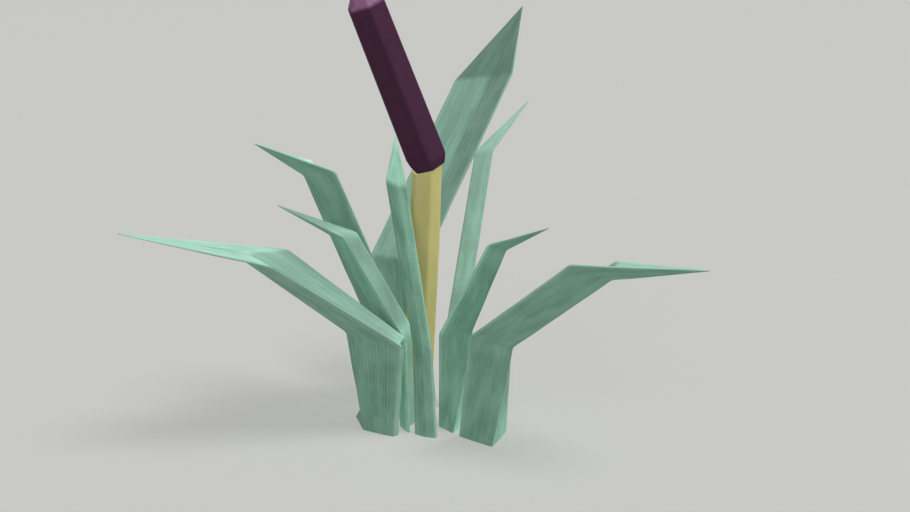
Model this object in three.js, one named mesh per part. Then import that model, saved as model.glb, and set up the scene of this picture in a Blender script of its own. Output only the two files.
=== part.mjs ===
import * as THREE from 'three';

// A cattail clump cut off level with the ground: eight folded leaves around one stem with its seed spike.
// Lengths are millimetres, angles degrees, +Z is up. Bearings run anticlockwise from +X, seen from above.

// The middle of the clump's outline, which becomes the origin.
const middle = [-11.6, -7];

// The stem is a six-sided stalk that leans a little forward.
const stemFoot = [-8.5, 8, 0];
const stemBend = [-3, -3, 112];
const stemTop = [-1.4, -10];
const stemRadius = 9;
const stemTopRadius = 8.6;
const stemTurn = 46;

// The spike sits on the stem and leans left. Its two ends are bevelled.
const spikeSeat = [0, -10, 153];
const spikeLean = [-33, -13, 91];
const spikeLength = 101;
const spikeRadius = 12;
const spikeTopRadius = 10.8;
const spikeSeatRadius = 9.4;
const spikeEndRadius = 6.5;
const spikeBevel = 6;
const spikeTurn = 50;
const jointGap = 0.4;

// A leaf has a keel along its outer side and two blades that fold in from it. It stands on a level cut,
// bends at a lower and an upper fold, and runs out to a point. Values in threes belong to the cut, the
// lower fold and the upper fold, or to the three lengths between them and the point.
// rises: how steeply each length climbs. keelDepths: how far the keel stands out from the blade edges.
// turns: roll about the leaf's own line. slants and lags: how far a fold runs askew, and back from the keel.
// valleyLags: how far back the fold's inner middle lies.
// ribs and rims: thickness along the keel and the edges, for a leaf whose base is folded shut.
const midribThickness = [5, 4, 2.4];
const edgeThickness = [1.8, 1.5, 1.1];
const pointSize = 0.7;
const stepsPerLength = 4;

const leaves = {
  leaf_left_long: {
    foot: [-38.9, -18.5], bearings: [207, 197, 192.5], lengths: [63.3, 71.3, 65.4], rises: [80.3, 41, 17],
    halfWidths: [18.4, 3.2, 21], keelDepths: [8, 29, 9], turns: [12, -43, -4.5],
    slants: [0, -2.2, 15.5], lags: [0, 17.2, 17.3], ribs: [5, 29, 5], rims: [4, 3, 1.1],
    valleyLags: [0, 16, 0],
  },
  leaf_back_left: {
    foot: [-29, 10], bearings: [191, 191, 191], lengths: [49, 103, 32], rises: [84, 69, 37],
    halfWidths: [9, 15, 17], keelDepths: [7, 13, 12], turns: [0, 19, 14],
    slants: [0, 0, -4], lags: [0, 0, 4],
  },
  leaf_left_short: {
    foot: [-18, -14], bearings: [187, 187, 187], lengths: [53, 72, 32], rises: [85, 63, 33],
    halfWidths: [7, 10.2, 11], keelDepths: [6, 10.3, 8], turns: [-19, -14.6, -9],
    slants: [0, -1.2, 8], lags: [0, -2.5, 8],
  },
  leaf_front: {
    foot: [-3.3, -28.1], bearings: [131, 133.5, 93], lengths: [53.4, 91.4, 30], rises: [88, 78, 50.5],
    halfWidths: [7, 6, 5.7], keelDepths: [-1.2, -1.2, -2], turns: [-66.5, -72, -11.5],
    slants: [0, 0, 4.7], lags: [0, 0.3, -1.9],
  },
  leaf_back_broad: {
    foot: [-12, 31], bearings: [52, 35, -20], lengths: [86, 119, 42], rises: [90, 59, 68],
    halfWidths: [17, 23, 21], keelDepths: [9, 9, 8], turns: [40, -5, 26],
    slants: [0, -7, -20], lags: [0, -1, 2],
  },
  leaf_back_right: {
    foot: [15.5, 8], bearings: [46, 46, 49], lengths: [56, 100, 46], rises: [89, 77, 29],
    halfWidths: [8, 6, 4.7], keelDepths: [-3, -2, -1.5], turns: [58, 58, 51],
    slants: [0, -1.3, -5.6],
  },
  leaf_right_short: {
    foot: [12.6, -23.9], bearings: [-21, -23, -23], lengths: [64, 53, 28], rises: [79.8, 69, 32.7],
    halfWidths: [7, 19, 11], keelDepths: [10.3, 10, 6], turns: [-62.5, -8, -12],
  },
  leaf_right_long: {
    foot: [34, -42], bearings: [-25, -26.5, -25.5], lengths: [62, 71, 51], rises: [79, 40.8, 13.8],
    halfWidths: [14, 24, 19], keelDepths: [18, 16, 11.5], turns: [-51, -9, -19],
    slants: [0, -3.3, 9], lags: [0, 0, 6.6],
  },
};
const straightFold = [0, 0, 0];

const leafColour = 0x7fa48f;
const stemColour = 0xb0a566;
const spikeColour = 0x43263b;

const radians = THREE.MathUtils.degToRad;
const upward = new THREE.Vector3(0, 0, 1);

// The corners of a leaf's section at one fold, on the keel and at both edges.
function foldCorners(leaf, keel, along, bearing, fold) {
  const across = new THREE.Vector3(-Math.sin(radians(bearing)), Math.cos(radians(bearing)), 0);
  const inward = new THREE.Vector3().crossVectors(across, along).negate();
  const roll = radians(leaf.turns[fold]);
  across.applyAxisAngle(along, roll);
  inward.applyAxisAngle(along, roll);
  const { keelDepths, halfWidths } = leaf;
  const { slants = straightFold, lags = straightFold, valleyLags = straightFold } = leaf;
  const { ribs = midribThickness, rims = edgeThickness } = leaf;
  const depth = keelDepths[fold];
  const inside = inward.clone().multiplyScalar(Math.sign(depth));
  const edge = (side) => keel.clone()
    .addScaledVector(inward, depth)
    .addScaledVector(across, side * halfWidths[fold])
    .addScaledVector(along, side * slants[fold] / 2 - lags[fold]);
  const valley = keel.clone()
    .addScaledVector(inside, ribs[fold])
    .addScaledVector(along, -valleyLags[fold]);
  return { keel, valley, left: edge(1), right: edge(-1), inside, rim: rims[fold] };
}

function leafFolds(leaf) {
  const directions = leaf.bearings.map((bearing, i) => new THREE.Vector3(
    Math.cos(radians(bearing)) * Math.cos(radians(leaf.rises[i])),
    Math.sin(radians(bearing)) * Math.cos(radians(leaf.rises[i])),
    Math.sin(radians(leaf.rises[i])),
  ));
  const keels = [new THREE.Vector3(leaf.foot[0], leaf.foot[1], 0)];
  directions.forEach((direction, i) => {
    keels.push(keels[i].clone().addScaledVector(direction, leaf.lengths[i]));
  });
  const folds = [foldCorners(leaf, keels[0], upward, leaf.bearings[0], 0)];
  for (const i of [1, 2]) {
    const along = directions[i - 1].clone().add(directions[i]).normalize();
    const bearing = (leaf.bearings[i - 1] + leaf.bearings[i]) / 2;
    folds.push(foldCorners(leaf, keels[i], along, bearing, i));
  }
  const last = folds[2];
  const tip = keels[3];
  const sideways = last.left.clone().sub(last.right).normalize().multiplyScalar(pointSize / 2);
  folds.push({
    keel: tip,
    valley: tip.clone().addScaledVector(last.inside, pointSize),
    left: tip.clone().add(sideways).addScaledVector(last.inside, pointSize / 4),
    right: tip.clone().sub(sideways).addScaledVector(last.inside, pointSize / 4),
    inside: last.inside,
    rim: pointSize / 2,
  });
  return folds;
}

// One section outline is drawn out in steps, and each step's corners are then set on the leaf's own lines.
function leafGeometry(leaf) {
  const section = new THREE.Shape([
    new THREE.Vector2(0, 0),
    new THREE.Vector2(1, 1),
    new THREE.Vector2(1, 1.4),
    new THREE.Vector2(0, 0.8),
    new THREE.Vector2(-1, 1.4),
    new THREE.Vector2(-1, 1),
  ]);
  const steps = 3 * stepsPerLength;
  const geometry = new THREE.ExtrudeGeometry(section, { depth: steps, steps, bevelEnabled: false });
  const folds = leafFolds(leaf);
  const mirrored = leaf.keelDepths[1] < 0 ? -1 : 1;
  const points = geometry.getAttribute('position');
  for (let i = 0; i < points.count; i += 1) {
    const side = Math.round(points.getX(i)) * mirrored;
    const onInside = points.getY(i) - Math.abs(points.getX(i)) > 0.2;
    const step = Math.round(points.getZ(i));
    const first = Math.min(Math.floor(step / stepsPerLength), 2);
    const share = step / stepsPerLength - first;
    const place = (fold) => {
      if (side === 0) return (onInside ? fold.valley : fold.keel).clone();
      const edge = side > 0 ? fold.left : fold.right;
      return edge.clone().addScaledVector(fold.inside, onInside ? fold.rim : 0);
    };
    const point = place(folds[first]).lerp(place(folds[first + 1]), share);
    points.setXYZ(i, point.x, point.y, point.z);
  }
  geometry.computeVertexNormals();
  return geometry;
}

const spikeAxis = new THREE.Vector3(...spikeLean).normalize();

// The stem's level rows follow its bend, and its top is cut square to the spike.
function stemGeometry() {
  const geometry = new THREE.CylinderGeometry(stemRadius, stemRadius, 2, 6, 2);
  geometry.rotateX(Math.PI / 2).rotateZ(radians(stemTurn - 90));
  const seat = new THREE.Vector3(...spikeSeat).addScaledVector(spikeAxis, -jointGap);
  const points = geometry.getAttribute('position');
  for (let i = 0; i < points.count; i += 1) {
    const row = Math.round(points.getZ(i)) + 1;
    const size = row === 2 ? stemTopRadius / stemRadius : 1;
    const x = points.getX(i) * size;
    const y = points.getY(i) * size;
    if (row === 2) {
      const away = new THREE.Vector2(stemTop[0] + x - seat.x, stemTop[1] + y - seat.y);
      const drop = (spikeAxis.x * away.x + spikeAxis.y * away.y) / spikeAxis.z;
      points.setXYZ(i, stemTop[0] + x, stemTop[1] + y, seat.z - drop);
    } else {
      const centre = row === 0 ? stemFoot : stemBend;
      points.setXYZ(i, centre[0] + x, centre[1] + y, centre[2]);
    }
  }
  geometry.computeVertexNormals();
  return geometry;
}

function spikeGeometry() {
  const outline = [
    [0, 0],
    [spikeSeatRadius, 0],
    [spikeRadius, spikeBevel],
    [spikeTopRadius, spikeLength - spikeBevel],
    [spikeEndRadius, spikeLength],
    [0, spikeLength],
  ].map(([radius, height]) => new THREE.Vector2(radius, height));
  return new THREE.LatheGeometry(outline, 6);
}

function piece(name, geometry, color, roughness) {
  const mesh = new THREE.Mesh(geometry, new THREE.MeshStandardMaterial({ color, roughness, metalness: 0 }));
  mesh.name = name;
  return mesh;
}

const clump = new THREE.Group();
clump.position.set(-middle[0], -middle[1], 0);
clump.add(piece('stem', stemGeometry(), stemColour, 0.7));

const spike = piece('spike', spikeGeometry(), spikeColour, 0.95);
spike.position.set(...spikeSeat);
spike.quaternion.setFromUnitVectors(new THREE.Vector3(0, 1, 0), spikeAxis);
spike.rotateY(radians(spikeTurn));
clump.add(spike);

for (const [name, leaf] of Object.entries(leaves)) {
  clump.add(piece(name, leafGeometry(leaf), leafColour, 0.6));
}

export default clump;
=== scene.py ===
import math

import bpy
import numpy as np
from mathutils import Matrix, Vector


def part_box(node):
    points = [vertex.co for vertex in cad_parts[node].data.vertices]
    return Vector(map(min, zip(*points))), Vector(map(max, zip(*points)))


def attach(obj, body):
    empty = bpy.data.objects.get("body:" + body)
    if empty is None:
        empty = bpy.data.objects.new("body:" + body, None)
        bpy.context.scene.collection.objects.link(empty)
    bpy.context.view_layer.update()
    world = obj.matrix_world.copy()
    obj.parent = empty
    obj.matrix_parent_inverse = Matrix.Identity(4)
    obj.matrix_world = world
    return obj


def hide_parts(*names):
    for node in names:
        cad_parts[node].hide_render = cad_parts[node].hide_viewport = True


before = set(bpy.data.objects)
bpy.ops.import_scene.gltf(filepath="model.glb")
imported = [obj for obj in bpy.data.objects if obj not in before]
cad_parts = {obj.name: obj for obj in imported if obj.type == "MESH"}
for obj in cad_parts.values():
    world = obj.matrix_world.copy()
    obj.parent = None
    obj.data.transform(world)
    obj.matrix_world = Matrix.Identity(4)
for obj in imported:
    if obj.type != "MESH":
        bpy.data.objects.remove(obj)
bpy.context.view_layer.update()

millimetre = 0.001
clumpMiddle = np.array([-11.6, -7.0, 0.0])  # becomes the origin, as in the solids
fullTurn = 2 * math.pi
print("frame: %d nodes" % len(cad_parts))


class Wire:  # a shader socket, so that shader maths reads as Python
    def __init__(self, tree, socket=None):
        self.tree = tree
        self.socket = socket

    def node(self, kind, settings=None, sockets=None, out=0):  # settings first, then values or links
        made = self.tree.nodes.new("ShaderNode" + kind)
        for name, value in (settings or {}).items():
            setattr(made, name, value)
        for name, value in (sockets or {}).items():
            if isinstance(value, Wire):
                self.tree.links.new(value.socket, made.inputs[name])
            else:
                made.inputs[name].default_value = value
        return Wire(self.tree, made.outputs[out])

    def maths(self, operation, *values):
        return self.node("Math", {"operation": operation}, dict(enumerate(values)))

    def blend(self, share, first, second):  # colours
        return self.node("Mix", {"data_type": "RGBA"}, {0: share, 6: first, 7: second}, 2)

    def scaled(self, colour, size):
        return self.node("VectorMath", {"operation": "SCALE"}, {0: colour, "Scale": size})

    def attribute(self, name):
        return self.node("Attribute", {"attribute_name": name}, None, "Fac")

    def place(self):
        return self.node("TexCoord", None, None, "Object")

    def noise(self, place, scale, detail=2.0):
        return self.node("TexNoise", None, {"Vector": place, "Scale": scale, "Detail": detail})

    def bump(self, height, strength, distance):
        return self.node("Bump", None, {"Strength": strength, "Distance": distance, "Height": height})

    def smooth(self, low, high):  # 0 below low, 1 above high
        sockets = {"Value": self, "From Min": low, "From Max": high}
        return self.node("MapRange", {"interpolation_type": "SMOOTHSTEP"}, sockets)

    def __add__(self, other):
        return self.maths("ADD", self, other)

    def __sub__(self, other):
        return self.maths("SUBTRACT", self, other)

    def __rsub__(self, other):
        return self.maths("SUBTRACT", other, self)

    def __mul__(self, other):
        return self.maths("MULTIPLY", self, other)

    __radd__ = __add__
    __rmul__ = __mul__


screenCurve = {"knee": 0.04045, "slope": 12.92, "lift": 0.055, "power": 2.4}


def tint(red, green, blue):  # a colour as a screen shows it, in the renderer's own values
    def linear(value):
        share = value / 255
        if share < screenCurve["knee"]:
            return share / screenCurve["slope"]
        return ((share + screenCurve["lift"]) / (1 + screenCurve["lift"])) ** screenCurve["power"]

    return linear(red), linear(green), linear(blue), 1.0


def newMaterial(name, fixed):  # fixed values go straight on the shader's sockets
    material = bpy.data.materials.new(name)
    material.use_nodes = True
    shader = material.node_tree.nodes["Principled BSDF"]
    for socket, value in fixed.items():
        shader.inputs[socket].default_value = value
    return material, shader, Wire(material.node_tree)


def feed(shader, socket, wire):
    wire.tree.links.new(wire.socket, shader.inputs[socket])


# Leaf skin: parallel veins, long fibres between them and faint cross walls. Scales are per millimetre.
# A share is how much of a colour shows at most, and a range holds the noise values over which it comes in.
leafFinish = {
    "fixed": {"IOR": 1.42, "Specular IOR Level": 0.35},
    "green": tint(127, 172, 151),
    "deep": tint(105, 150, 129),
    "patchScale": 0.16,
    "patchStretch": 0.35,  # along the leaf, against across it
    "patchRange": (0.3, 0.7),
    "pale": tint(154, 198, 176),
    "fibreScale": 2.2,
    "fibreStretch": 0.035,
    "fibreDetail": 3.0,
    "fibreRange": (0.45, 0.8),
    "fibreShare": 0.4,
    "vein": tint(160, 203, 182),
    "veinShare": 0.45,
    "margin": tint(162, 202, 178),
    "marginShare": 0.35,
    "wallPitch": 4.5,  # mm between cross walls
    "wallShift": 0.37,  # pitches from one lane to the next
    "wallRange": (0.42, 0.5),  # pitches from the middle between two walls
    "wallShare": 0.14,
    "bloomAndSheen": tint(176, 190, 190),  # waxy bloom, also a painted sheen, on the side that faces the clump
    "bloomAndSheenShare": 0.16,
    "roughness": 0.5,
    "fibreRoughness": 0.16,
    "veinGloss": 0.06,
    "fibreRelief": 0.6,
    "wallRelief": 0.5,
    "reliefStrength": 0.35,
    "reliefDepth": 0.0003,  # metres
}


def leafMaterial():
    make = leafFinish
    material, shader, wire = newMaterial("leafSkin", make["fixed"])
    along, across, vein, edge, lane, bloomAndSheen, paintedShading = [
        wire.attribute(name) for name in ("along", "across", "vein", "edge", "lane", "bloomAndSheen", "paintedShading")]
    grain = wire.node("CombineXYZ", None, {"X": across, "Y": along * make["fibreStretch"], "Z": lane})
    cloud = wire.node("CombineXYZ", None, {"X": across, "Y": along * make["patchStretch"], "Z": lane})
    fibres = wire.noise(grain, make["fibreScale"], make["fibreDetail"])
    patches = wire.noise(cloud, make["patchScale"])
    walls = wire.maths("FRACT", along * (1 / make["wallPitch"]) + lane * make["wallShift"])
    wallLine = wire.maths("ABSOLUTE", walls - 0.5).smooth(*make["wallRange"]) * (1 - vein)
    colour = wire.blend(patches.smooth(*make["patchRange"]), make["deep"], make["green"])
    colour = wire.blend(fibres.smooth(*make["fibreRange"]) * make["fibreShare"], colour, make["pale"])
    colour = wire.blend(vein * make["veinShare"], colour, make["vein"])
    colour = wire.blend(edge * make["marginShare"], colour, make["margin"])
    colour = wire.blend(wallLine * make["wallShare"], colour, make["deep"])
    # Waxy bloom, also a painted sheen, on the side that faces the clump.
    colour = wire.blend(bloomAndSheen * make["bloomAndSheenShare"], colour, make["bloomAndSheen"])
    # Painted light and shade: the colour is scaled lighter or darker point by point.
    feed(shader, "Base Color", wire.scaled(colour, paintedShading))
    feed(shader, "Roughness", make["roughness"] + fibres * make["fibreRoughness"] - vein * make["veinGloss"])
    relief = fibres * make["fibreRelief"] - wallLine * make["wallRelief"]
    feed(shader, "Normal", wire.bump(relief, make["reliefStrength"], make["reliefDepth"]))
    return material


# Cut ends: pale pith with rows of air cells.
cutFinish = {
    "fixed": {"IOR": 1.4},
    "pith": tint(196, 208, 170),
    "cell": tint(120, 139, 100),
    "cellsPerMetre": 900,
    "cellRange": (0.2, 0.45),  # distances from a cell's middle over which it turns to pith
    "cellShare": 0.8,
    "roughness": 0.7,
    "cellRoughness": 0.15,
    "reliefStrength": 0.6,
    "reliefDepth": 0.0004,
}


def cutMaterial():
    make = cutFinish
    material, shader, wire = newMaterial("cutPith", make["fixed"])
    sockets = {"Vector": wire.place(), "Scale": make["cellsPerMetre"]}
    cells = wire.node("TexVoronoi", None, sockets, "Distance")
    hollow = 1 - cells.smooth(*make["cellRange"])
    feed(shader, "Base Color", wire.blend(hollow * make["cellShare"], make["pith"], make["cell"]))
    feed(shader, "Roughness", make["roughness"] + hollow * make["cellRoughness"])
    feed(shader, "Normal", wire.bump(cells, make["reliefStrength"], make["reliefDepth"]))
    return material


# Stem skin: tan, with long fibres and paler ridges. Scales are per millimetre.
stemFinish = {
    "fixed": {"IOR": 1.42, "Specular IOR Level": 0.3},
    "tan": tint(196, 188, 120),
    "straw": tint(212, 204, 140),
    "patchScale": 0.1,
    "patchStretch": 0.5,
    "patchRange": (0.3, 0.75),
    "patchShare": 0.5,
    "brown": tint(166, 155, 92),
    "fibreScale": 2.4,
    "fibreStretch": 0.03,
    "fibreDetail": 3.0,
    "fibreRange": (0.5, 0.8),
    "fibreShare": 0.45,
    "ridgeShare": 0.35,
    "roughness": 0.56,
    "fibreRoughness": 0.18,
    "reliefStrength": 0.35,
    "reliefDepth": 0.0003,
}


def stemMaterial():
    make = stemFinish
    material, shader, wire = newMaterial("stemSkin", make["fixed"])
    along, across, vein = [wire.attribute(name) for name in ("along", "across", "vein")]
    grain = wire.node("CombineXYZ", None, {"X": across, "Y": along * make["fibreStretch"]})
    cloud = wire.node("CombineXYZ", None, {"X": across, "Y": along * make["patchStretch"]})
    fibres = wire.noise(grain, make["fibreScale"], make["fibreDetail"])
    patches = wire.noise(cloud, make["patchScale"])
    colour = wire.blend(patches.smooth(*make["patchRange"]) * make["patchShare"], make["tan"], make["straw"])
    colour = wire.blend(fibres.smooth(*make["fibreRange"]) * make["fibreShare"], colour, make["brown"])
    colour = wire.blend(vein * make["ridgeShare"], colour, make["straw"])
    feed(shader, "Base Color", colour)
    feed(shader, "Roughness", make["roughness"] + fibres * make["fibreRoughness"])
    feed(shader, "Normal", wire.bump(fibres, make["reliefStrength"], make["reliefDepth"]))
    return material


# Spike nap: packed seed hairs, with painted shade towards their roots, a painted sheen towards their tips and
# a painted highlight round the end.
spikeFinish = {
    "fixed": {"IOR": 1.4, "Specular IOR Level": 0.08},
    # root is painted shade deep among the hairs, also the colour of the dark patches and mottles; tip is a
    # painted sheen on the hairs' ends.
    "root": tint(58, 33, 51),
    "nap": tint(84, 50, 74),
    "tip": tint(118, 75, 106),
    "tipSheenShare": 0.6,
    # painted highlight round the top end
    "paintedTopLight": tint(178, 128, 166),
    "paintedTopLightShare": 0.4,
    "paintedTopLightTipShare": 0.3,  # added towards the hairs' tips
    "patchesPerMetre": 160,
    "patchDetail": 3.0,
    "patchRange": (0.5, 0.8),
    "patchShare": 0.2,
    "mottlesPerMetre": 420,
    "mottleRange": (0.45, 0.75),
    "mottleShare": 0.3,
    "roughness": 0.8,
    "hairRoughness": 0.15,
}


def spikeMaterial():
    make = spikeFinish
    material, shader, wire = newMaterial("spikeNap", make["fixed"])
    depth, shade, paintedTopLight = [wire.attribute(name) for name in ("depth", "shade", "paintedTopLight")]
    patches = wire.noise(wire.place(), make["patchesPerMetre"], make["patchDetail"])
    mottles = wire.noise(wire.place(), make["mottlesPerMetre"])
    # Painted shade towards the hairs' roots, then a painted sheen towards their tips.
    colour = wire.blend(depth, make["root"], make["nap"])
    colour = wire.blend(depth * shade * make["tipSheenShare"], colour, make["tip"])
    # Painted highlight round the top end.
    paintedTopLightShare = make["paintedTopLightShare"] + depth * make["paintedTopLightTipShare"]
    colour = wire.blend(paintedTopLight * paintedTopLightShare, colour, make["paintedTopLight"])
    colour = wire.blend(patches.smooth(*make["patchRange"]) * make["patchShare"], colour, make["root"])
    colour = wire.blend(mottles.smooth(*make["mottleRange"]) * make["mottleShare"], colour, make["root"])
    feed(shader, "Base Color", colour)
    feed(shader, "Roughness", make["roughness"] + shade * make["hairRoughness"])
    return material


finishes = {"leaf": leafMaterial(), "cut": cutMaterial(), "stem": stemMaterial(), "spike": spikeMaterial()}
print("materials: %s" % ", ".join(finishes))


def unit(vectors):
    return vectors / np.linalg.norm(vectors, axis=-1, keepdims=True)


def turned(vector, axis, degrees):
    angle = math.radians(degrees)
    side = np.cross(axis, vector) * math.sin(angle)
    return vector * math.cos(angle) + side + axis * (vector @ axis) * (1 - math.cos(angle))


def heading(bearing, rise):  # the direction of a leaf's length, or towards a light
    around, up = math.radians(bearing), math.radians(rise)
    return np.array([math.cos(around) * math.cos(up), math.sin(around) * math.cos(up), math.sin(up)])


def softLines(stations, lengths, places, softness):  # straight lengths with each bend rounded off
    starts = np.concatenate([[0.0], np.cumsum(lengths)])
    rates = np.diff(stations, axis=0) / np.asarray(lengths)[:, None, None]
    which = np.clip(np.searchsorted(starts, places, side="right") - 1, 0, len(lengths) - 1)
    lines = stations[which] + rates[which] * (places - starts[which])[:, None, None]
    for bend in range(1, len(lengths)):
        near = np.clip(softness - np.abs(places - starts[bend]), 0, None)
        lines += (near**2 / (4 * softness))[:, None, None] * (rates[bend] - rates[bend - 1])
    return lines


bendClearance = 1.2  # times the softness, kept free of the even rows


def rowPlaces(lengths, spacing, softness, rowsPerBend):  # even rows, closer together round each bend
    ends = np.cumsum(lengths)
    rows = np.linspace(0, ends[-1], round(ends[-1] / spacing) + 1)
    for bend in ends[:-1]:
        rows = rows[np.abs(rows - bend) > softness * bendClearance]
        rows = np.concatenate([rows, np.linspace(bend - softness, bend + softness, rowsPerBend)])
    return np.sort(rows)


def tubeFaces(rows, columns):  # quads between neighbouring rings
    down = np.arange(rows - 1)[:, None] * columns
    here = np.arange(columns)[None, :]
    after = (here + 1) % columns
    corners = [down + here, down + after, down + columns + after, down + columns + here]
    return np.stack(corners, axis=-1).reshape(-1, 4)


mapEdge = 0.01  # margin of a flat map, which is 1 wide and 1 high


def tubeMap(rows, columns, low):  # each face's own place on the flat map, with a seam
    along = np.linspace(low, 1 - mapEdge, rows)
    around = np.linspace(mapEdge, 1 - mapEdge, columns + 1)
    a0, a1 = np.meshgrid(along[:-1], around[:-1], indexing="ij")
    b0, b1 = np.meshgrid(along[1:], around[1:], indexing="ij")
    corners = [(a1, a0), (b1, a0), (b1, b0), (a1, b0)]
    return np.stack([np.stack(corner, axis=-1) for corner in corners], axis=2).reshape(-1, 2)


def circleMap(middle, radius, angles):  # a round cap's corners on the flat map
    return [(middle[0] + radius * math.cos(angle), middle[1] + radius * math.sin(angle)) for angle in angles]


def flippedMap(faces, flatMap):  # the map's corners in the order of faces turned over
    sizes = np.array([len(face) for face in faces])
    ends = np.cumsum(sizes)
    order = [np.arange(end - 1, end - size - 1, -1) for end, size in zip(ends, sizes)]
    return flatMap[np.concatenate(order)]


creaseAngle = math.radians(50)  # sharper edges stay crisp


def addPiece(name, points, faces, flatMap, attributes, slots, faceSlots):
    mesh = bpy.data.meshes.new(name)
    mesh.from_pydata((points * millimetre).tolist(), [], faces)
    for slot in slots:
        mesh.materials.append(finishes[slot])
    mesh.polygons.foreach_set("material_index", np.asarray(faceSlots, dtype=np.int32))
    for label, values in attributes.items():
        layer = mesh.attributes.new(label, "FLOAT", "POINT")
        layer.data.foreach_set("value", np.asarray(values, dtype=np.float32))
    layer = mesh.uv_layers.new(name="OFBake")
    layer.uv.foreach_set("vector", np.asarray(flatMap, dtype=np.float32).ravel())
    mesh.polygons.foreach_set("use_smooth", np.ones(len(mesh.polygons), dtype=bool))
    mesh.set_sharp_from_angle(angle=creaseAngle)
    mesh.update()
    piece = bpy.data.objects.new(name, mesh)
    bpy.context.scene.collection.objects.link(piece)
    return piece


def dress(piece, node):  # the piece stands for its solid
    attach(piece, "root")
    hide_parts(node)
    corners = np.array([vertex.co for vertex in piece.data.vertices])
    low, high = np.array(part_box(node))
    off = np.abs([corners.min(axis=0) - low, corners.max(axis=0) - high]).max() / millimetre
    print("%s: %d faces, %.1f mm from its solid's box" % (piece.name, len(piece.data.polygons), off))


# Leaves, in millimetres and degrees. Each stands on a level cut, bends at a lower and an upper fold and
# runs out to a point. Values in threes belong to the cut and the folds, or to the lengths between them
# and the point. Rises say how steeply a length climbs, keelDepths how far the keel stands out from the
# edges, turns how a fold rolls about the leaf's line, slants and lags how far it runs askew, and back
# from the keel. Painted light and shade lighten or darken the lengths, first outside and then inside.
leaves = {
    "leaf_left_long": dict(
        foot=(-38.9, -18.5), bearings=(207, 197, 192.5), lengths=(63.3, 71.3, 65.4), rises=(80.3, 41, 17),
        halfWidths=(18.4, 3.2, 21), keelDepths=(8, 29, 9), turns=(12, -43, -4.5),
        slants=(0, -2.2, 15.5), lags=(0, 17.2, 17.3), valleyLags=(0, 16, 0),
        ribs=(5, 29, 5), rims=(4, 3, 1.1), veins=13,
        paintedLengthShading=((0.9, 0.9, 1.0), (1.15, 0.75, 1.15)), paintedFoldLight=(0.45, 0.15)),
    "leaf_back_left": dict(
        foot=(-29, 10), bearings=(191, 191, 191), lengths=(49, 103, 32), rises=(84, 69, 37),
        halfWidths=(9, 15, 17), keelDepths=(7, 13, 12), turns=(0, 19, 14),
        slants=(0, 0, -4), lags=(0, 0, 4), veins=10,
        paintedLengthShading=((1, 1, 1), (1, 1, 1.25)), paintedFoldLight=(0, 0.45)),
    "leaf_left_short": dict(
        foot=(-18, -14), bearings=(187, 187, 187), lengths=(53, 72, 32), rises=(85, 63, 33),
        halfWidths=(7, 10.2, 11), keelDepths=(6, 10.3, 8), turns=(-19, -14.6, -9),
        slants=(0, -1.2, 8), lags=(0, -2.5, 8), veins=8,
        paintedLengthShading=((1.5, 1.1, 1.0), (1.0, 0.88, 0.72)), paintedFoldLight=(0.45, 0.4)),
    "leaf_front": dict(
        foot=(-3.9, -28.1), bearings=(139, 131.2, 93), lengths=(53.4, 91.3, 30), rises=(87.7, 78.4, 50.5),
        halfWidths=(7, 6, 5.7), keelDepths=(-1.2, -1.2, -2), turns=(-74.5, -74.9, -10.4),
        slants=(0, 0, 4.7), lags=(0, 0.3, -1.9), veins=6,
        paintedLengthShading=((0.95, 0.9, 1.35), (1, 1, 1.35))),
    "leaf_back_broad": dict(
        foot=(-12, 31), bearings=(52, 33.5, -14.9), lengths=(86, 119, 44.9), rises=(90, 59, 69.2),
        halfWidths=(14.6, 24.2, 23.2), keelDepths=(9, 9, 8), turns=(40, -4.2, 24.2),
        slants=(0, -7, -20), lags=(0, -1, 2), veins=14,
        paintedLengthShading=((1, 1, 1), (1, 1, 0.92))),
    "leaf_back_right": dict(
        foot=(15.5, 8), bearings=(46, 46, 49), lengths=(56, 100, 46), rises=(89, 77, 29),
        halfWidths=(8, 6, 4.7), keelDepths=(-3, -2, -1.5), turns=(58, 58, 51),
        slants=(0, -1.3, -5.6), lags=(0, 0, 0), veins=6, keelInside=True,
        paintedLengthShading=((1.15, 1.15, 0.95), (1.15, 1.15, 0.95)), paintedFoldLight=(0, 0.4)),
    "leaf_right_short": dict(
        foot=(12.6, -23.9), bearings=(-21, -23, -23), lengths=(64, 53, 28), rises=(79.8, 69, 32.7),
        halfWidths=(7, 19, 11), keelDepths=(10.3, 10, 6), turns=(-62.5, -8, -12),
        slants=(0, 0, 0), lags=(0, 0, 0), veins=9,
        paintedLengthShading=((1.12, 1.12, 1.12), (1, 1, 1)), paintedFootLight=1.75),
    "leaf_right_long": dict(
        foot=(34, -42), bearings=(-25, -26.5, -25.5), lengths=(62, 71, 51), rises=(79, 40.8, 13.8),
        halfWidths=(14, 24, 19), keelDepths=(18, 16, 11.5), turns=(-51, -9, -19),
        slants=(0, -3.3, 9), lags=(0, 0, 6.6), veins=13,
        paintedLengthShading=((0.94, 0.94, 0.94), (1, 1, 1.25)), paintedFootLight=1.6),
}
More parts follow.
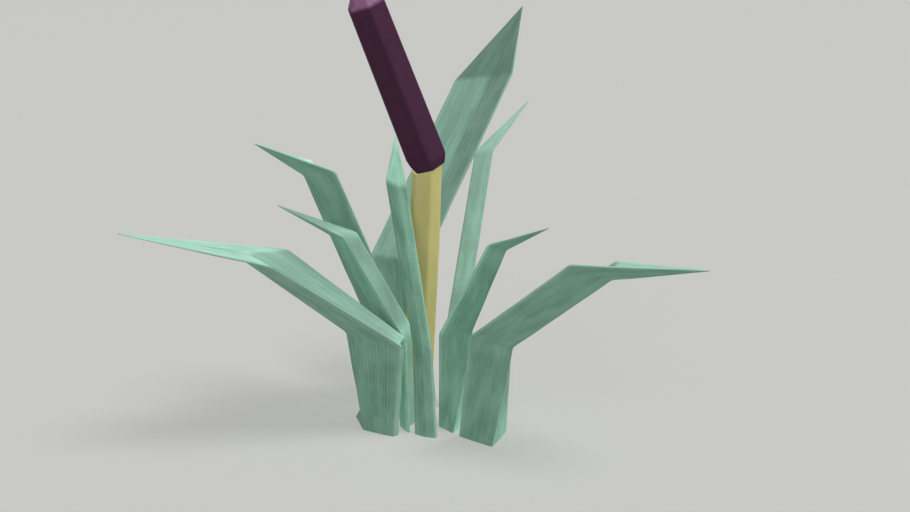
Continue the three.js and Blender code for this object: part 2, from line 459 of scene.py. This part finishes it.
leafMake = {
    "ribs": (5, 4, 2.4),  # thickness along the keel
    "rims": (1.8, 1.5, 1.1),  # and along the edges
    "valleyLags": (0, 0, 0),  # how far back the inner middle of a fold lies
    "keelInside": False,  # whether the keel faces the clump
    "paintedFootLight": 1.0,  # painted light on the outside of the left blade at the cut
    "paintedFootLightHeight": 28,
    "paintedFoldLight": (0, 0),  # painted highlight on the inner face at the lower and the upper fold
    "foldLightWidth": 5,
    "pointSize": 0.7,
    "foldSoftness": 1.8,
    "keelSoftness": 0.05,  # share of the half width
    "valleySoftness": 0.09,
    "rimRound": 0.9,  # most that a rim stands out
    "rimSteps": 3,
    "marginStart": 0.95,  # share of the half width where the pale margin begins
    "veinHeight": 0.16,
    "veinSteepness": 0.16,  # most height for the room that each vein has
    "veinWidth": 0.2,  # share of the distance between veins
    "veinStart": 0.08,  # shares of the half width: bare beside the keel, and taken up by veins
    "veinSpan": 0.9,
    "veinShift": 0.12,  # share of the distance by which a vein strays
    "veinHeights": (0.8, 1.1),
    "veinFlank": 0.12,  # height at a vein's sides
    "strongVeinEvery": 3,
    "weakVein": 0.6,
    "keelStrip": 0.03,  # the first column beside the keel
    "waveHeight": 0.14,
    "waveLengths": (23, 37, 61),
    "waveLean": 2.5,  # most that a wave runs askew, in radians at the edge
    "footFade": 15,  # lengths over which the waves begin and end
    "pointFade": 30,
    "rowSpacing": 2.2,
    "rowsPerFold": 9,
    "innerLane": 9.0,  # lanes keep the grain of faces and leaves apart
    "leafLane": 3.7,
}
leafMap = {  # places on a leaf's flat map
    "tube": 0.1,  # the skin lies above this
    "cut": 0.01,  # lower edges of the cut and the point
    "point": 0.055,
    "capHeight": 0.03,
    "capLeft": 0.05,
    "capRight": 0.95,
    "leftRim": 0.005,
    "rightRim": 0.955,
    "rimWidth": 0.02,
}


def leafValue(leaf, name):  # a leaf's own value, or else the usual one
    return leaf.get(name, leafMake[name])


def leafStations(leaf):  # keel, edges and their inner partners at the cut, both folds and the point
    directions = [heading(*pair) for pair in zip(leaf["bearings"], leaf["rises"])]
    keels = [np.array([*leaf["foot"], 0.0])]
    for direction, length in zip(directions, leaf["lengths"]):
        keels.append(keels[-1] + direction * length)
    lines = [np.array([0.0, 0.0, 1.0])]
    lines += [unit(before + after) for before, after in zip(directions, directions[1:])]
    ribs, rims, valleyLags = [leafValue(leaf, name) for name in ("ribs", "rims", "valleyLags")]
    stations = []
    for fold, along in enumerate(lines):
        bearing = math.radians((leaf["bearings"][max(fold - 1, 0)] + leaf["bearings"][fold]) / 2)
        level = np.array([-math.sin(bearing), math.cos(bearing), 0.0])
        inward = turned(-np.cross(level, along), along, leaf["turns"][fold])
        across = turned(level, along, leaf["turns"][fold])
        inside = inward * np.sign(leaf["keelDepths"][fold])
        middle = keels[fold] + inward * leaf["keelDepths"][fold] - along * leaf["lags"][fold]
        aside = across * leaf["halfWidths"][fold] + along * leaf["slants"][fold] / 2
        outside = [keels[fold], middle + aside, middle - aside]
        valley = keels[fold] + inside * ribs[fold] - along * valleyLags[fold]
        partners = [valley] + [edge + inside * rims[fold] for edge in outside[1:]]
        stations.append(outside + partners)
    size = leafMake["pointSize"]
    sideways = unit(aside) * size / 2
    tip, rise = keels[-1], inside * size / 4
    outside = [tip, tip + sideways + rise, tip - sideways + rise]
    partners = [outside[0] + inside * size] + [end + inside * size / 2 for end in outside[1:]]
    stations.append(outside + partners)
    return np.array(stations)


def veinColumns(count, dice):  # columns across one leaf and how high the veins stand on each
    pitch = leafMake["veinSpan"] / count
    shift, flank = leafMake["veinShift"], leafMake["veinFlank"]
    centres = leafMake["veinStart"] + pitch * (np.arange(count) + 0.5 + dice.uniform(-shift, shift, count))
    strong = np.arange(count) % leafMake["strongVeinEvery"] == 1
    heights = np.where(strong, 1.0, leafMake["weakVein"]) * dice.uniform(*leafMake["veinHeights"], count)
    half = pitch * leafMake["veinWidth"]
    places, rises = [0.0, leafMake["keelStrip"]], [0.0, 0.0]
    for centre, height in zip(centres, heights):
        places += [centre - half, centre, centre + half, centre + pitch / 2]
        rises += [flank * height, height, flank * height, 0.0]
    places[-1] = 1.0
    places, rises = np.array(places), np.array(rises)
    return np.concatenate([-places[:0:-1], places]), np.concatenate([rises[:0:-1], rises])


def leafFaces(leaf, rows, across, veins, dice):  # the outer and inner face, as rows of points
    lines = softLines(leafStations(leaf), leaf["lengths"], rows, leafMake["foldSoftness"])
    keel, left, right, valley, leftIn, rightIn = [lines[:, i][:, None, :] for i in range(lines.shape[1])]
    inside = unit(valley - keel)
    alongRow = unit(np.gradient(keel[:, 0], rows, axis=0))[:, None, :]

    def pulledIn(edge, partner):  # leaves room for the round rim
        half = np.linalg.norm(partner - edge, axis=-1, keepdims=True) / 2
        toKeel = unit(keel - edge) * np.minimum(half, leafMake["rimRound"])
        return edge + toKeel, partner + toKeel

    left, leftIn = pulledIn(left, leftIn)
    right, rightIn = pulledIn(right, rightIn)
    spread = np.linalg.norm(left - right, axis=-1, keepdims=True) / 2
    height = np.minimum(leafMake["veinHeight"], leafMake["veinSteepness"] * spread / leaf["veins"])
    share = across[None, :, None]

    def sheet(middle, edgeA, edgeB, softness, out):
        bent = np.sqrt(share**2 + softness**2)
        flat = middle + share * (edgeA - edgeB) / 2 + bent * ((edgeA + edgeB) / 2 - middle)
        blade = np.where(share < 0, edgeB - middle, edgeA - middle)
        normal = unit(np.cross(np.broadcast_to(alongRow, blade.shape), blade))
        normal = normal * np.sign((normal * inside).sum(axis=-1, keepdims=True)) * out
        return flat + normal * height * veins[None, :, None]

    waves, most = leafMake["waveLengths"], leafMake["waveLean"]
    leans = dice.uniform(-most, most, len(waves))
    phases = dice.uniform(0, fullTurn, len(waves))
    wave = sum(
        np.sin(rows[:, None] * fullTurn / length + across[None, :] * lean + phase)
        for length, lean, phase in zip(waves, leans, phases)) / len(waves)
    fade = np.minimum(1, rows / leafMake["footFade"])
    fade = fade * np.minimum(1, (rows[-1] - rows) / leafMake["pointFade"])
    sway = (wave * fade[:, None] * leafMake["waveHeight"])[:, :, None] * inside
    outer = sheet(keel, left, right, leafMake["keelSoftness"], -1.0) + sway
    inner = sheet(valley, leftIn, rightIn, leafMake["valleySoftness"], 1.0) + sway
    return outer, inner, keel[:, 0]


def leafRim(start, end, keel):  # a half round from one face to the other
    centre, half = (start + end) / 2, (end - start) / 2
    reach = np.minimum(np.linalg.norm(half, axis=-1, keepdims=True), leafMake["rimRound"])
    out = unit(centre - keel) * reach
    turns = np.arange(1, leafMake["rimSteps"] + 1) * math.pi / (leafMake["rimSteps"] + 1)
    return np.stack([centre - half * math.cos(turn) + out * math.sin(turn) for turn in turns], axis=1)


def leafCaps(count, columns, wide):  # the cut end and the point, with their places on the flat map
    steps = leafMake["rimSteps"]
    innerFirst = wide + steps
    turns = np.arange(steps + 2) * math.pi / (steps + 1)
    places = np.linspace(leafMap["capLeft"], leafMap["capRight"], wide)
    capFaces, capMap = [], []
    for ring, low in ((0, leafMap["cut"]), (count - 1, leafMap["point"])):
        start, order = ring * columns, 1 if ring else -1
        high = low + leafMap["capHeight"]
        for i in range(wide - 1):
            innerLast = start + innerFirst + wide - 1 - i
            capFaces.append([start + i, start + i + 1, innerLast - 1, innerLast][::order])
            x0, x1 = places[i], places[i + 1]
            capMap += [(x0, low), (x1, low), (x1, high), (x0, high)][::order]
        for first, x in ((wide - 1, leafMap["rightRim"]), (innerFirst + wide - 1, leafMap["leftRim"])):
            capFaces.append([start + (first + i) % columns for i in range(steps + 2)][::order])
            bow = [x + leafMap["rimWidth"] * math.sin(turn) for turn in turns]
            climb = [low + leafMap["capHeight"] / 2 * (1 - math.cos(turn)) for turn in turns]
            capMap += list(zip(bow, climb))[::order]
    return capFaces, np.array(capMap)


def leafPaintedShading(leaf, rows, inShare, leftBlade):  # painted light and shade: how far each point's colour is lightened or darkened
    folds = np.cumsum(leaf["lengths"])[:2]
    stops = np.repeat(folds, 2) + leafMake["foldSoftness"] * np.array([-1, 1, -1, 1])
    outsideShading, insideShading = [np.interp(rows, stops, np.array(paintedLengthShading)[[0, 1, 1, 2]]) for paintedLengthShading in leaf["paintedLengthShading"]]
    paintedShading = outsideShading[:, None] * (1 - inShare) + insideShading[:, None] * inShare
    # painted light on the outside of the left blade near the cut
    footLight = (leafValue(leaf, "paintedFootLight") - 1) * np.clip(1 - rows / leafMake["paintedFootLightHeight"], 0, 1)
    # painted highlight on the inner face along the folds
    near = np.exp(-((rows[:, None] - folds) / leafMake["foldLightWidth"]) ** 2)
    foldLight = near @ np.array(leafValue(leaf, "paintedFoldLight"))
    return (paintedShading * (1 + footLight[:, None] * leftBlade + foldLight[:, None] * inShare)).ravel()


def leafPiece(name, leaf, seed):
    dice = np.random.default_rng(seed)
    softness, rowsPerFold = leafMake["foldSoftness"], leafMake["rowsPerFold"]
    rows = rowPlaces(leaf["lengths"], leafMake["rowSpacing"], softness, rowsPerFold)
    across, veins = veinColumns(leaf["veins"], dice)
    outer, inner, keel = leafFaces(leaf, rows, across, veins, dice)
    leftRim = leafRim(outer[:, -1], inner[:, -1], keel)
    rightRim = leafRim(inner[:, 0], outer[:, 0], keel)
    rings = np.concatenate([outer, leftRim, inner[:, ::-1], rightRim], axis=1)
    rings[0, :, 2] = 0.0  # the cut is level
    count, columns = rings.shape[:2]
    wide, steps = len(across), leafMake["rimSteps"]
    width = np.linalg.norm(outer[:, -1] - keel, axis=-1).mean()

    def around(onOuter, onLeft, onInner, onRight):  # one value for each column of a ring
        values = zip((onOuter, onLeft, onInner, onRight), (wide, steps, wide, steps))
        return np.concatenate([np.broadcast_to(value, size) for value, size in values])

    ringAcross = around(across, 1.0, across[::-1], -1.0)
    inShare = around(0.0, 0.5, 1.0, 0.5)
    marginStart = leafMake["marginStart"]
    ringValues = {
        "across": ringAcross * width,
        "vein": around(veins, 0.0, veins[::-1], 0.0),
        "edge": np.clip((np.abs(ringAcross) - marginStart) / (1 - marginStart), 0, 1),
        "lane": around(0.0, 0.0, leafMake["innerLane"], 0.0) + seed * leafMake["leafLane"],
        "bloomAndSheen": 1 - inShare if leafValue(leaf, "keelInside") else inShare,
    }
    attributes = {label: np.tile(values, count) for label, values in ringValues.items()}
    attributes["along"] = np.repeat(rows, columns)
    # painted light and shade for each point
    attributes["paintedShading"] = leafPaintedShading(leaf, rows, inShare, around(across > 0, 1.0, 0.0, 0.0))
    tube = tubeFaces(count, columns).tolist()
    capFaces, capMap = leafCaps(count, columns, wide)
    faces = tube + capFaces
    flatMap = np.concatenate([tubeMap(count, columns, leafMap["tube"]), capMap])
    if leaf["keelDepths"][1] < 0:  # keeps the faces outward on a leaf folded the other way
        flatMap = flippedMap(faces, flatMap)
        faces = [face[::-1] for face in faces]
    half = len(capFaces) // 2
    faceSlots = [0] * len(tube) + [1] * half + [0] * half  # only the cut shows its pith
    points = rings.reshape(-1, 3) - clumpMiddle
    piece = addPiece(name + "_blade", points, faces, flatMap, attributes, ["leaf", "cut"], faceSlots)
    dress(piece, name)


for number, (leafName, leafShape) in enumerate(leaves.items()):
    leafPiece(leafName, leafShape, number + 1)
print("leaves: %d" % len(leaves))


# Stem and spike: the stem's top is cut square to the spike's axis, just under the spike's seat.
stemMake = {
    "foot": (-8.5, 8, 0),
    "bend": (-3, -3, 112),
    "top": (-1.4, -10),
    "radius": 9.0,
    "topRadius": 8.6,
    "turn": 46,
    "softness": 12.0,  # length over which the bend is rounded
    "cornerPower": 18,  # higher is crisper
    "ridges": 42,
    "ridgeShape": (0.0, 0.45, 1.0, 0.45),  # from one groove to the next
    "ridgeHeight": 0.14,
    "ridgeSunk": 0.6,  # share of the height below the hexagon's own face
    "rowSpacing": 2.5,
    "rowsAtBend": 9,
    "jointGap": 0.05,
}
stemMap = {"tube": 0.2, "foot": (0.1, 0.1), "top": (0.3, 0.1), "radius": 0.08}  # places on its flat map
spikeMake = {
    "seat": (0, -10, 153),
    "lean": (-33, -13, 91),
    "profile": ((0, 0), (9.4, 0), (12, 6), (10.8, 95), (6.5, 101), (0, 101)),  # radius, height
    "turn": 50,
    "softness": 1.2,
    "cornerPower": 34,
    "girth": 1.07,  # of the rounded hexagon, against the circle inside it
    "columns": 120,
    "rowSpacing": 2.0,
    "rowsPerBend": 7,
    "endHole": 0.05,  # radius where the rows end and the caps begin
    "pile": 0.07,
    "fullPile": 4,  # radius from which the nap has its full height
    "hairSpacing": 0.38,
    "hairsInRow": 3,  # at least
    "hairWidth": 0.62,
    "hairLengths": (0.8, 1.15),  # times the pile
    "hairTilt": 0.25,  # towards the spike's end
    "hairLean": 0.2,  # scatter of the tilt
    "rootDepth": 0.04,
    "bodyDepth": 0.1,  # colour values of the form under the nap; its low depth gives it the painted shade of the hair roots
    "bodyShade": 0.3,
    "paintedTopLight": (94.4, 96.4),  # heights between which the painted highlight round the top end comes in
    "seed": 41,
}
spikeMap = {  # places on its flat map, those of a hair as shares of the hair's cell
    "tube": 0.82,
    "seat": (0.1, 0.8),
    "end": (0.3, 0.8),
    "radius": 0.01,
    "cellsPerHair": 1.3,
    "hairFeet": ((0.05, 0.1), (0.35, 0.1), (0.65, 0.1), (0.95, 0.1)),
    "hairTip": (0.5, 0.9),
}
hexagonFlat = math.cos(math.pi / 6)
spikeAxis = unit(np.array(spikeMake["lean"], dtype=float))


def softHexagon(angles, turn, power):  # reach of a hexagon of size 1 with its corners rounded
    flats = math.radians(turn + 30) + np.arange(6) * math.pi / 3
    pulls = np.clip(np.cos(angles[:, None] - flats[None, :]), 0, None) ** power
    return hexagonFlat / pulls.sum(axis=1) ** (1 / power)


def stemPiece():
    ridge = np.tile(stemMake["ridgeShape"], stemMake["ridges"])
    columns = len(ridge)
    angles = np.linspace(0, fullTurn, columns, endpoint=False)
    reach = softHexagon(angles, stemMake["turn"], stemMake["cornerPower"]) * stemMake["radius"]
    reach = reach + (ridge - stemMake["ridgeSunk"]) * stemMake["ridgeHeight"]
    around = np.stack([np.cos(angles) * reach, np.sin(angles) * reach, angles * 0], axis=1)
    foot, bend = np.array(stemMake["foot"], dtype=float), np.array(stemMake["bend"], dtype=float)
    seat = np.array(spikeMake["seat"]) - spikeAxis * stemMake["jointGap"]
    top = around * stemMake["topRadius"] / stemMake["radius"] + np.array([*stemMake["top"], 0.0])
    top[:, 2] = seat[2] - ((top[:, :2] - seat[:2]) @ spikeAxis[:2]) / spikeAxis[2]
    lengths = [np.linalg.norm(bend - foot), np.linalg.norm(top.mean(axis=0) - bend)]
    rows = rowPlaces(lengths, stemMake["rowSpacing"], stemMake["softness"], stemMake["rowsAtBend"])
    rings = softLines(np.stack([around + foot, around + bend, top]), lengths, rows, stemMake["softness"])
    count = len(rows)
    points = np.concatenate([rings.reshape(-1, 3), rings[[0, -1]].mean(axis=1)]) - clumpMiddle
    tube = tubeFaces(count, columns).tolist()
    caps, capMap = [], []
    ends = ((0, count * columns, "foot", -1), (count - 1, count * columns + 1, "top", 1))
    for ring, middle, place, order in ends:
        spots = circleMap(stemMap[place], stemMap["radius"], angles)
        for i in range(columns):
            after = (i + 1) % columns
            caps.append([middle] + [ring * columns + i, ring * columns + after][::order])
            capMap += [stemMap[place]] + [spots[i], spots[after]][::order]
    attributes = {
        "along": np.concatenate([np.repeat(rows, columns), [0, rows[-1]]]),
        "across": np.concatenate([np.tile(angles * stemMake["radius"], count), [0, 0]]),
        "vein": np.concatenate([np.tile(ridge, count), [0, 0]]),
    }
    faceSlots = [0] * len(tube) + [1] * columns + [0] * columns  # only the foot shows its pith
    flatMap = np.concatenate([tubeMap(count, columns, stemMap["tube"]), np.array(capMap)])
    piece = addPiece("stem_stalk", points, tube + caps, flatMap, attributes, ["stem", "cut"], faceSlots)
    dress(piece, "stem")


spikeProfile = np.array(spikeMake["profile"], dtype=float)
spikeLengths = np.linalg.norm(np.diff(spikeProfile, axis=0), axis=1)
spikeTotal = spikeLengths.sum()


def spikeDrawn(places):  # radius and height at places along the profile
    return softLines(spikeProfile[:, None, :], spikeLengths, places, spikeMake["softness"])[:, 0]


def spikeSpots(places, angles, inset):  # points on the spike, in its own frame
    drawn = spikeDrawn(np.clip(places, 0, spikeTotal))
    reach = np.maximum(drawn[:, 0], 0) * softHexagon(angles, spikeMake["turn"] - 90, spikeMake["cornerPower"])
    reach = np.maximum(reach - inset * np.minimum(1, reach / spikeMake["fullPile"]), 0)
    middle = spikeProfile[-1, 1] / 2
    height = middle + (drawn[:, 1] - middle) * (1 - inset / middle)
    return np.stack([np.cos(angles) * reach, np.sin(angles) * reach, height], axis=1)


def spikeBody():  # the closed form under the nap
    columns = spikeMake["columns"]
    angles = np.linspace(0, fullTurn, columns, endpoint=False)
    rows = rowPlaces(spikeLengths, spikeMake["rowSpacing"], spikeMake["softness"], spikeMake["rowsPerBend"])
    rows[0], rows[-1] = spikeMake["endHole"], spikeTotal - spikeMake["endHole"]
    count = len(rows)
    points = np.concatenate([spikeSpots(np.full(columns, row), angles, spikeMake["pile"]) for row in rows])
    caps = [list(range(columns))[::-1], list(range((count - 1) * columns, count * columns))]
    capMap = circleMap(spikeMap["seat"], spikeMap["radius"], angles[::-1])
    capMap += circleMap(spikeMap["end"], spikeMap["radius"], angles)
    flatMap = np.concatenate([tubeMap(count, columns, spikeMap["tube"]), np.array(capMap)])
    return points, tubeFaces(count, columns).tolist() + caps, flatMap


def spikeHairs(dice):  # three-sided hairs, rooted evenly over the surface, leaning a little to the tip
    spacing, pile = spikeMake["hairSpacing"], spikeMake["pile"]
    rows = np.arange(spacing, spikeTotal - spacing, spacing)
    perRow = np.round(fullTurn * hexagonFlat * spikeDrawn(rows)[:, 0] * spikeMake["girth"] / spacing)
    perRow = np.maximum(spikeMake["hairsInRow"], perRow).astype(int)
    wanted = perRow.sum()
    place = np.repeat(rows, perRow) + dice.uniform(-0.5, 0.5, wanted) * spacing
    slot = np.concatenate([np.arange(number) / number for number in perRow])
    bearing = fullTurn * (slot + dice.uniform(-0.5, 0.5, wanted) / np.repeat(perRow, perRow))
    root = spikeSpots(place, bearing, pile)
    near, aside = 0.4, 0.02  # steps for the surface's slope
    upward = spikeSpots(place + near, bearing, 0) - spikeSpots(place - near, bearing, 0)
    sideways = spikeSpots(place, bearing + aside, 0) - spikeSpots(place, bearing - aside, 0)
    normal = unit(np.cross(sideways, upward))
    upward = unit(upward)
    sideways = np.cross(upward, normal)
    lean = dice.normal(0, spikeMake["hairLean"], (wanted, 2)) + np.array([spikeMake["hairTilt"], 0])
    length = pile * dice.uniform(*spikeMake["hairLengths"], wanted)[:, None]
    tip = root + (normal + upward * lean[:, :1] + sideways * lean[:, 1:]) * length
    spin = dice.uniform(0, fullTurn, wanted)
    corners = []
    for turn in np.arange(3) * fullTurn / 3:
        out = upward * np.cos(spin + turn)[:, None] + sideways * np.sin(spin + turn)[:, None]
        corners.append(root - normal * spikeMake["rootDepth"] + out * spikeMake["hairWidth"] / 2)
    return np.stack([*corners, tip], axis=1).reshape(-1, 3), dice.uniform(0, 1, wanted)


def hairMap(count):  # every hair has a cell of its own on the lower part of the flat map
    perSide = math.ceil(math.sqrt(count * spikeMap["cellsPerHair"]))
    size = (1 - 2 * mapEdge) / perSide
    cell = np.stack([np.arange(count) % perSide, np.arange(count) // perSide], axis=1)[:, None, :]
    feet, tip = spikeMap["hairFeet"], spikeMap["hairTip"]
    corners = np.concatenate([[*pair, tip] for pair in zip(feet, feet[1:])])
    return (mapEdge + (cell + corners) * size).reshape(-1, 2)


def spikePiece():
    points, faces, flatMap = spikeBody()
    hairs, shades = spikeHairs(np.random.default_rng(spikeMake["seed"]))
    bodyCount, hairCount = len(points), len(shades)
    perHair = 4  # points: three feet, then the tip
    hairSides = np.array([(1, 0, 3), (2, 1, 3), (0, 2, 3)])
    hairStarts = bodyCount + np.arange(hairCount)[:, None, None] * perHair
    faces = faces + (hairStarts + hairSides).reshape(-1, 3).tolist()
    points = np.concatenate([points, hairs])
    bodyDepth, bodyShade = [np.full(bodyCount, spikeMake[name]) for name in ("bodyDepth", "bodyShade")]
    low, high = spikeMake["paintedTopLight"]
    attributes = {
        "depth": np.concatenate([bodyDepth, np.tile([0.0, 0.0, 0.0, 1.0], hairCount)]),
        "shade": np.concatenate([bodyShade, np.repeat(shades, perHair)]),
        # painted highlight round the top end
        "paintedTopLight": np.clip((points[:, 2] - low) / (high - low), 0, 1),
    }
    upright = Vector((0, 0, 1)).rotation_difference(Vector((0, 1, 0)))
    leaning = Vector((0, 1, 0)).rotation_difference(Vector(spikeAxis)) @ upright
    points = points @ np.array(leaning.to_matrix()).T + np.array(spikeMake["seat"]) - clumpMiddle
    flatMap = np.concatenate([flatMap, hairMap(hairCount)])
    piece = addPiece("spike_nap", points, faces, flatMap, attributes, ["spike"], [0] * len(faces))
    dress(piece, "spike")


stemPiece()
spikePiece()


# Floor, light and camera.
floorMake = {
    "fixed": {"Specular IOR Level": 0.2},
    "size": 24.0,  # metres
    "paint": tint(175, 175, 172),
    "grain": tint(165, 165, 162),
    "grainPerMetre": 60,
    "grainShare": 0.06,
    "roughness": 0.8,
    "grainRoughness": 0.1,
}
skyMake = {"colour": (1.0, 1.0, 1.0, 1.0), "strength": 0.25}
# Bearing and rise towards each light and its spread in degrees, its power and whether it casts a shadow.
lights = {
    "softKey": dict(bearing=-25, rise=62, spread=20, power=1.0, shadow=True),
    "evenKey": dict(bearing=-25, rise=62, spread=20, power=2.8, shadow=False),
    "frontFill": dict(bearing=-120, rise=15, spread=60, power=0.6, shadow=False),
}
cameraMake = {
    "distance": 758.3,  # mm from the clump's foot
    "elevation": 25,
    "lens": 50.7,
    "sensor": 36,
    "tilt": -17.9,  # degrees from level
    "pan": -1.17,  # to the right
}


def floorPiece():
    half = floorMake["size"] / 2
    mesh = bpy.data.meshes.new("floor")
    corners = [(-half, -half, 0), (half, -half, 0), (half, half, 0), (-half, half, 0)]
    mesh.from_pydata(corners, [], [(0, 1, 2, 3)])
    material, shader, wire = newMaterial("floorPaint", floorMake["fixed"])
    grain = wire.noise(wire.place(), floorMake["grainPerMetre"])
    colour = wire.blend(grain * floorMake["grainShare"], floorMake["paint"], floorMake["grain"])
    feed(shader, "Base Color", colour)
    feed(shader, "Roughness", floorMake["roughness"] + grain * floorMake["grainRoughness"])
    mesh.materials.append(material)
    floor = bpy.data.objects.new("floor", mesh)
    bpy.context.scene.collection.objects.link(floor)


def addLight(name, make):
    light = bpy.data.lights.new(name, "SUN")
    light.energy = make["power"]
    light.angle = math.radians(make["spread"])
    light.use_shadow = make["shadow"]
    lamp = bpy.data.objects.new(name, light)
    towards = Vector(heading(make["bearing"], make["rise"]))
    lamp.location = towards
    lamp.rotation_euler = towards.to_track_quat("Z", "Y").to_euler()
    bpy.context.scene.collection.objects.link(lamp)


def addSky():  # even light from all round
    world = bpy.data.worlds.new("studio")
    world.use_nodes = True
    background = world.node_tree.nodes["Background"]
    background.inputs["Color"].default_value = skyMake["colour"]
    background.inputs["Strength"].default_value = skyMake["strength"]
    bpy.context.scene.world = world


def addCamera():
    camera = bpy.data.objects.new("camera", bpy.data.cameras.new("camera"))
    camera.data.lens = cameraMake["lens"]
    camera.data.sensor_width = cameraMake["sensor"]
    up = math.radians(cameraMake["elevation"])
    place = np.array([0, -math.cos(up), math.sin(up)]) * cameraMake["distance"] - clumpMiddle
    camera.location = place * millimetre
    camera.rotation_euler = (math.radians(90 + cameraMake["tilt"]), 0, math.radians(cameraMake["pan"]))
    bpy.context.scene.collection.objects.link(camera)
    bpy.context.scene.camera = camera


floorPiece()
for lightName, lightMake in lights.items():
    addLight(lightName, lightMake)
addSky()
addCamera()
bpy.context.scene.view_settings.view_transform = "Standard"
print("stage: floor, lights and camera")
